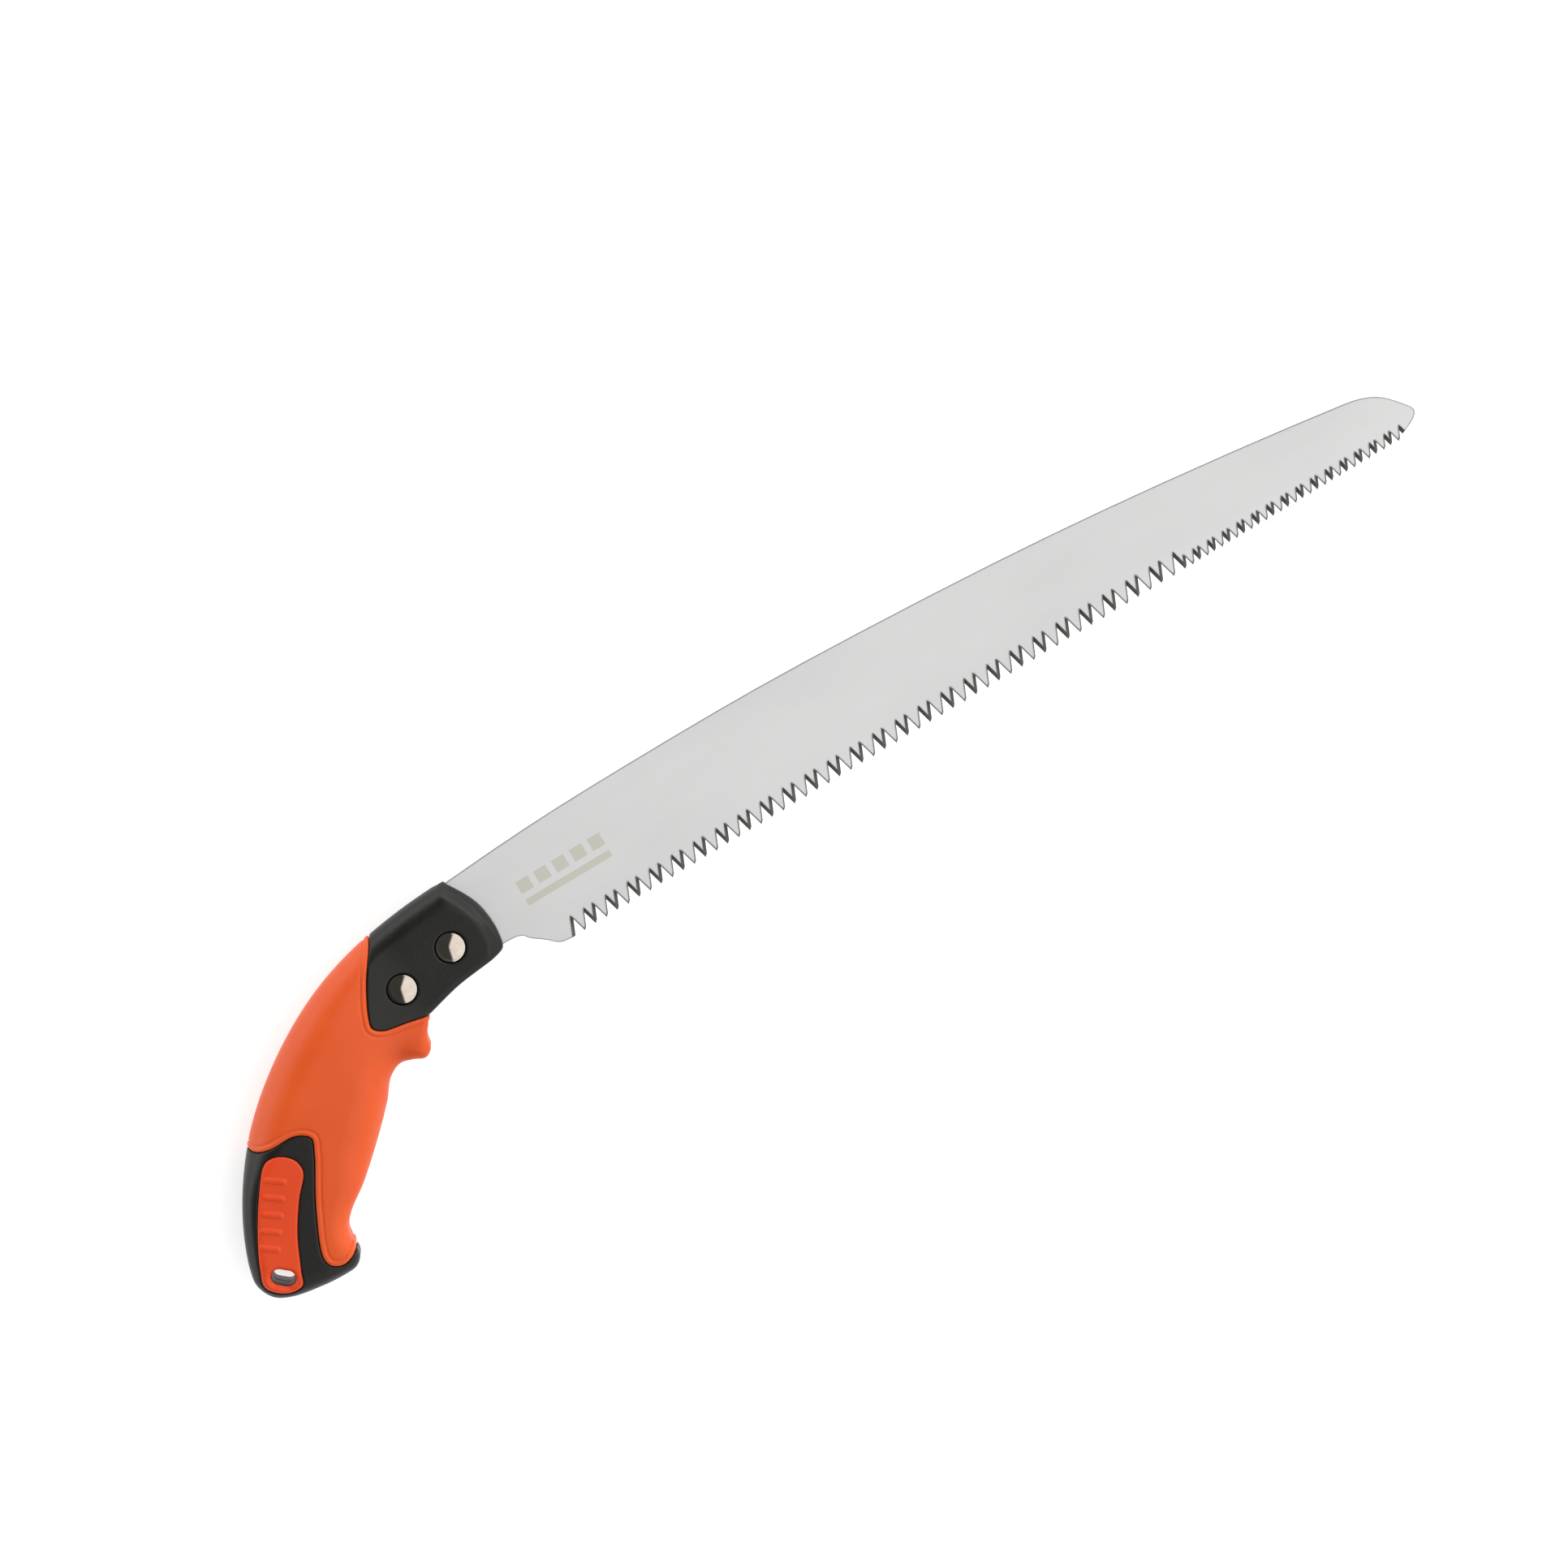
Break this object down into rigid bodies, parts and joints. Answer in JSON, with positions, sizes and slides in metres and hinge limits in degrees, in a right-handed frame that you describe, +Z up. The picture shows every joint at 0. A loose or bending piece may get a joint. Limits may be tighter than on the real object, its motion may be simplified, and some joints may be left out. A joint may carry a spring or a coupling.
{
  "type": "pruning saw",
  "caption": "Pistol-grip pruning saw: long curved-back pull-cut blade bolted between the halves of a black core with a soft orange grip.",
  "frame": {"origin": "middle of the underside of the bounding box, with the saw lying on its side", "axes": "+X along the tooth line towards the blade's tip, +Y from the teeth to the back of the blade, +Z up, to the side with the domed nuts"},
  "size_m": [0.4446, 0.0898, 0.024],
  "materials": {
    "blade_steel": "satin ground and plated steel with darker ground tooth bevels",
    "core_resin": "fine textured hard black plastic",
    "grip_rubber": "soft matt orange elastomer",
    "inlay_resin": "smooth matt orange plastic",
    "nut_nickel": "polished nickel plate",
    "screw_steel": "bright zinc plated steel"
  },
  "bodies": {
    "handle": {"blade": "blade_steel", "core_right": "core_resin", "core_left": "core_resin", "grip_sleeve": "grip_rubber", "inlay_right": "inlay_resin", "inlay_left": "inlay_resin"},
    "nut_front": {"domed_nut_front": "nut_nickel"},
    "washer_front_lift": {"washer_front": "screw_steel"},
    "screw_front_spin": {"screw_front": "screw_steel"},
    "nut_rear": {"domed_nut_rear": "nut_nickel"},
    "washer_rear_lift": {"washer_rear": "screw_steel"},
    "screw_rear_spin": {"screw_rear": "screw_steel"}
  },
  "joints": [
    {"name": "nut_front_slide", "type": "slide", "parent": "handle", "child": "nut_front", "axis": [0, 0, 1], "range_m": [0, 0.0125]},
    {"name": "screw_front_travel", "type": "slide", "parent": "handle", "child": "washer_front_lift", "axis": [0, 0, -1], "range_m": [0, 0.007]},
    {"name": "screw_front_turn", "type": "hinge", "parent": "washer_front_lift", "child": "screw_front_spin", "pos_m": [-0.11701, 0.02512, 0.012], "axis": [0, 0, -1], "range_deg": [0, 3620]},
    {"name": "nut_rear_slide", "type": "slide", "parent": "handle", "child": "nut_rear", "axis": [0, 0, 1], "range_m": [0, 0.0125]},
    {"name": "screw_rear_travel", "type": "slide", "parent": "handle", "child": "washer_rear_lift", "axis": [0, 0, -1], "range_m": [0, 0.007]},
    {"name": "screw_rear_turn", "type": "hinge", "parent": "washer_rear_lift", "child": "screw_rear_spin", "pos_m": [-0.13631, 0.02172, 0.012], "axis": [0, 0, -1], "range_deg": [0, 3620]}
  ],
  "couplings": [
    {"joint": "screw_front_turn", "follows": "screw_front_travel", "rad_per_m": 8976},
    {"joint": "screw_rear_turn", "follows": "screw_rear_travel", "rad_per_m": 8976}
  ]
}
